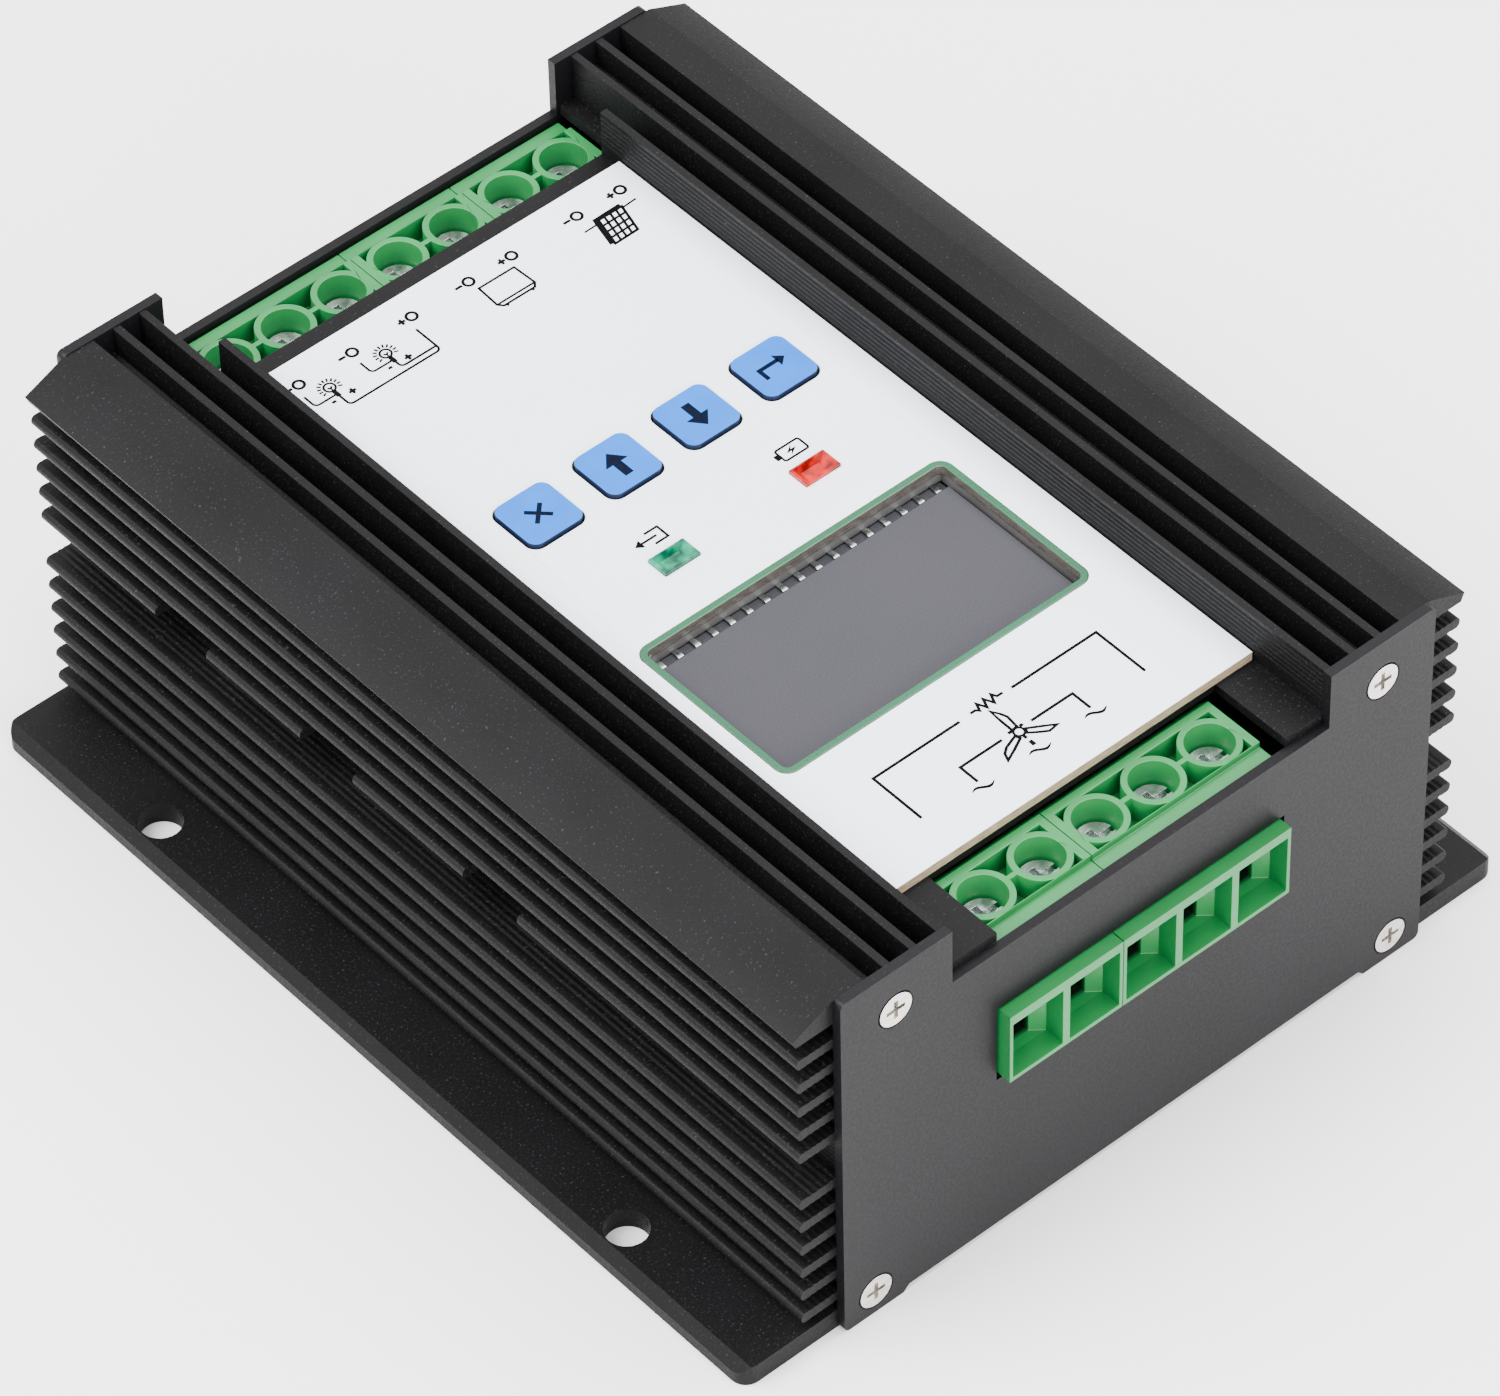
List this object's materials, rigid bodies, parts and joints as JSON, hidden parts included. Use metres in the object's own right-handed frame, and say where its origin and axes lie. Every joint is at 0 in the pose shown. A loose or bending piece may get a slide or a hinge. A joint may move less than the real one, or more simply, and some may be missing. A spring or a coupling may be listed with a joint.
{
  "type": "charge controller",
  "caption": "Wind and solar charge controller in a finned aluminium extrusion with a flanged base, display panel with keys and lamps, and rising clamp screw terminals at both ends.",
  "frame": {"origin": "centre of the underside of the mounting base, on the surface that it is bolted to", "axes": "+Z out of the front panel; +Y along the extrusion towards the wind terminals; +X to the right of a person reading the panel"},
  "size_m": [0.139, 0.166, 0.0652],
  "materials": {
    "housing": "sand-blasted black anodised",
    "plate": "fine satin",
    "screw_steel": "zinc plated",
    "board": "solder mask",
    "can": "sleeved",
    "ferrite": "coated",
    "copper": "enamelled copper",
    "device": "moulded",
    "terminal_green": "moulded",
    "panel_white": "printed laminate",
    "bezel": "moulded",
    "display": "smooth",
    "diffuser": "moulded",
    "key_blue": "domed film",
    "lamp_red": "clear moulded",
    "lamp_green": "clear moulded",
    "black_plastic": "moulded"
  },
  "bodies": {
    "case": {"heatsink_housing": "housing", "end_plate_wind": "plate", "end_plate_power": "plate", "end_plate_screws": "screw_steel", "main_board": "board", "capacitors": "can", "inductor_core": "ferrite", "inductor_winding": "copper", "power_transistors": "device", "transistor_screws": "screw_steel", "terminal_block_wind_3way": "terminal_green", "terminal_block_wind_2way": "terminal_green", "terminal_block_solar_2way": "terminal_green", "terminal_block_battery_2way": "terminal_green", "terminal_block_load_3way": "terminal_green", "current_bars_wind": "copper", "current_bars_power": "copper", "front_panel": "panel_white", "lcd_bezel": "bezel", "lcd_glass": "display", "lcd_backlight": "diffuser", "lcd_pins": "screw_steel", "display_board": "board", "display_spacers": "black_plastic", "board_connector": "black_plastic", "lamp_charge": "lamp_red", "lamp_output": "lamp_green", "tact_switches": "black_plastic"},
    "clamp_screw_wind_1": {"clamp_screw_wind_1": "screw_steel"},
    "clamp_cage_wind_1": {"clamp_cage_wind_1": "screw_steel"},
    "clamp_screw_wind_2": {"clamp_screw_wind_2": "screw_steel"},
    "clamp_cage_wind_2": {"clamp_cage_wind_2": "screw_steel"},
    "clamp_screw_wind_3": {"clamp_screw_wind_3": "screw_steel"},
    "clamp_cage_wind_3": {"clamp_cage_wind_3": "screw_steel"},
    "clamp_screw_wind_4": {"clamp_screw_wind_4": "screw_steel"},
    "clamp_cage_wind_4": {"clamp_cage_wind_4": "screw_steel"},
    "clamp_screw_wind_5": {"clamp_screw_wind_5": "screw_steel"},
    "clamp_cage_wind_5": {"clamp_cage_wind_5": "screw_steel"},
    "clamp_screw_power_1": {"clamp_screw_power_1": "screw_steel"},
    "clamp_cage_power_1": {"clamp_cage_power_1": "screw_steel"},
    "clamp_screw_power_2": {"clamp_screw_power_2": "screw_steel"},
    "clamp_cage_power_2": {"clamp_cage_power_2": "screw_steel"},
    "clamp_screw_power_3": {"clamp_screw_power_3": "screw_steel"},
    "clamp_cage_power_3": {"clamp_cage_power_3": "screw_steel"},
    "clamp_screw_power_4": {"clamp_screw_power_4": "screw_steel"},
    "clamp_cage_power_4": {"clamp_cage_power_4": "screw_steel"},
    "clamp_screw_power_5": {"clamp_screw_power_5": "screw_steel"},
    "clamp_cage_power_5": {"clamp_cage_power_5": "screw_steel"},
    "clamp_screw_power_6": {"clamp_screw_power_6": "screw_steel"},
    "clamp_cage_power_6": {"clamp_cage_power_6": "screw_steel"},
    "clamp_screw_power_7": {"clamp_screw_power_7": "screw_steel"},
    "clamp_cage_power_7": {"clamp_cage_power_7": "screw_steel"},
    "key_enter": {"key_enter": "key_blue", "switch_stem_enter": "black_plastic"},
    "key_up": {"key_up": "key_blue", "switch_stem_up": "black_plastic"},
    "key_down": {"key_down": "key_blue", "switch_stem_down": "black_plastic"},
    "key_escape": {"key_escape": "key_blue", "switch_stem_escape": "black_plastic"}
  },
  "joints": [
    {"name": "turn_wind_1", "type": "hinge", "parent": "case", "child": "clamp_screw_wind_1", "pos_m": [-0.02032, 0.0721, 0.05], "axis": [0, 0, -1], "range_deg": [0, 2522]},
    {"name": "lift_wind_1", "type": "slide", "parent": "case", "child": "clamp_cage_wind_1", "axis": [0, 0, 1], "range_m": [0, 0.0049]},
    {"name": "turn_wind_2", "type": "hinge", "parent": "case", "child": "clamp_screw_wind_2", "pos_m": [-0.01016, 0.0721, 0.05], "axis": [0, 0, -1], "range_deg": [0, 2522]},
    {"name": "lift_wind_2", "type": "slide", "parent": "case", "child": "clamp_cage_wind_2", "axis": [0, 0, 1], "range_m": [0, 0.0049]},
    {"name": "turn_wind_3", "type": "hinge", "parent": "case", "child": "clamp_screw_wind_3", "pos_m": [0, 0.0721, 0.05], "axis": [0, 0, -1], "range_deg": [0, 2522]},
    {"name": "lift_wind_3", "type": "slide", "parent": "case", "child": "clamp_cage_wind_3", "axis": [0, 0, 1], "range_m": [0, 0.0049]},
    {"name": "turn_wind_4", "type": "hinge", "parent": "case", "child": "clamp_screw_wind_4", "pos_m": [0.01016, 0.0721, 0.05], "axis": [0, 0, -1], "range_deg": [0, 2522]},
    {"name": "lift_wind_4", "type": "slide", "parent": "case", "child": "clamp_cage_wind_4", "axis": [0, 0, 1], "range_m": [0, 0.0049]},
    {"name": "turn_wind_5", "type": "hinge", "parent": "case", "child": "clamp_screw_wind_5", "pos_m": [0.02032, 0.0721, 0.05], "axis": [0, 0, -1], "range_deg": [0, 2522]},
    {"name": "lift_wind_5", "type": "slide", "parent": "case", "child": "clamp_cage_wind_5", "axis": [0, 0, 1], "range_m": [0, 0.0049]},
    {"name": "turn_power_1", "type": "hinge", "parent": "case", "child": "clamp_screw_power_1", "pos_m": [-0.03048, -0.0721, 0.05], "axis": [0, 0, -1], "range_deg": [0, 2522]},
    {"name": "lift_power_1", "type": "slide", "parent": "case", "child": "clamp_cage_power_1", "axis": [0, 0, 1], "range_m": [0, 0.0049]},
    {"name": "turn_power_2", "type": "hinge", "parent": "case", "child": "clamp_screw_power_2", "pos_m": [-0.02032, -0.0721, 0.05], "axis": [0, 0, -1], "range_deg": [0, 2522]},
    {"name": "lift_power_2", "type": "slide", "parent": "case", "child": "clamp_cage_power_2", "axis": [0, 0, 1], "range_m": [0, 0.0049]},
    {"name": "turn_power_3", "type": "hinge", "parent": "case", "child": "clamp_screw_power_3", "pos_m": [-0.01016, -0.0721, 0.05], "axis": [0, 0, -1], "range_deg": [0, 2522]},
    {"name": "lift_power_3", "type": "slide", "parent": "case", "child": "clamp_cage_power_3", "axis": [0, 0, 1], "range_m": [0, 0.0049]},
    {"name": "turn_power_4", "type": "hinge", "parent": "case", "child": "clamp_screw_power_4", "pos_m": [0, -0.0721, 0.05], "axis": [0, 0, -1], "range_deg": [0, 2522]},
    {"name": "lift_power_4", "type": "slide", "parent": "case", "child": "clamp_cage_power_4", "axis": [0, 0, 1], "range_m": [0, 0.0049]},
    {"name": "turn_power_5", "type": "hinge", "parent": "case", "child": "clamp_screw_power_5", "pos_m": [0.01016, -0.0721, 0.05], "axis": [0, 0, -1], "range_deg": [0, 2522]},
    {"name": "lift_power_5", "type": "slide", "parent": "case", "child": "clamp_cage_power_5", "axis": [0, 0, 1], "range_m": [0, 0.0049]},
    {"name": "turn_power_6", "type": "hinge", "parent": "case", "child": "clamp_screw_power_6", "pos_m": [0.02032, -0.0721, 0.05], "axis": [0, 0, -1], "range_deg": [0, 2522]},
    {"name": "lift_power_6", "type": "slide", "parent": "case", "child": "clamp_cage_power_6", "axis": [0, 0, 1], "range_m": [0, 0.0049]},
    {"name": "turn_power_7", "type": "hinge", "parent": "case", "child": "clamp_screw_power_7", "pos_m": [0.03048, -0.0721, 0.05], "axis": [0, 0, -1], "range_deg": [0, 2522]},
    {"name": "lift_power_7", "type": "slide", "parent": "case", "child": "clamp_cage_power_7", "axis": [0, 0, 1], "range_m": [0, 0.0049]},
    {"name": "press_enter", "type": "slide", "parent": "case", "child": "key_enter", "axis": [0, 0, -1], "range_m": [0, 0.00035], "stiffness_N_per_m": 3000},
    {"name": "press_up", "type": "slide", "parent": "case", "child": "key_up", "axis": [0, 0, -1], "range_m": [0, 0.00035], "stiffness_N_per_m": 3000},
    {"name": "press_down", "type": "slide", "parent": "case", "child": "key_down", "axis": [0, 0, -1], "range_m": [0, 0.00035], "stiffness_N_per_m": 3000},
    {"name": "press_escape", "type": "slide", "parent": "case", "child": "key_escape", "axis": [0, 0, -1], "range_m": [0, 0.00035], "stiffness_N_per_m": 3000}
  ],
  "couplings": [
    {"joint": "turn_wind_1", "follows": "lift_wind_1", "rad_per_m": 8976},
    {"joint": "turn_wind_2", "follows": "lift_wind_2", "rad_per_m": 8976},
    {"joint": "turn_wind_3", "follows": "lift_wind_3", "rad_per_m": 8976},
    {"joint": "turn_wind_4", "follows": "lift_wind_4", "rad_per_m": 8976},
    {"joint": "turn_wind_5", "follows": "lift_wind_5", "rad_per_m": 8976},
    {"joint": "turn_power_1", "follows": "lift_power_1", "rad_per_m": 8976},
    {"joint": "turn_power_2", "follows": "lift_power_2", "rad_per_m": 8976},
    {"joint": "turn_power_3", "follows": "lift_power_3", "rad_per_m": 8976},
    {"joint": "turn_power_4", "follows": "lift_power_4", "rad_per_m": 8976},
    {"joint": "turn_power_5", "follows": "lift_power_5", "rad_per_m": 8976},
    {"joint": "turn_power_6", "follows": "lift_power_6", "rad_per_m": 8976},
    {"joint": "turn_power_7", "follows": "lift_power_7", "rad_per_m": 8976}
  ]
}
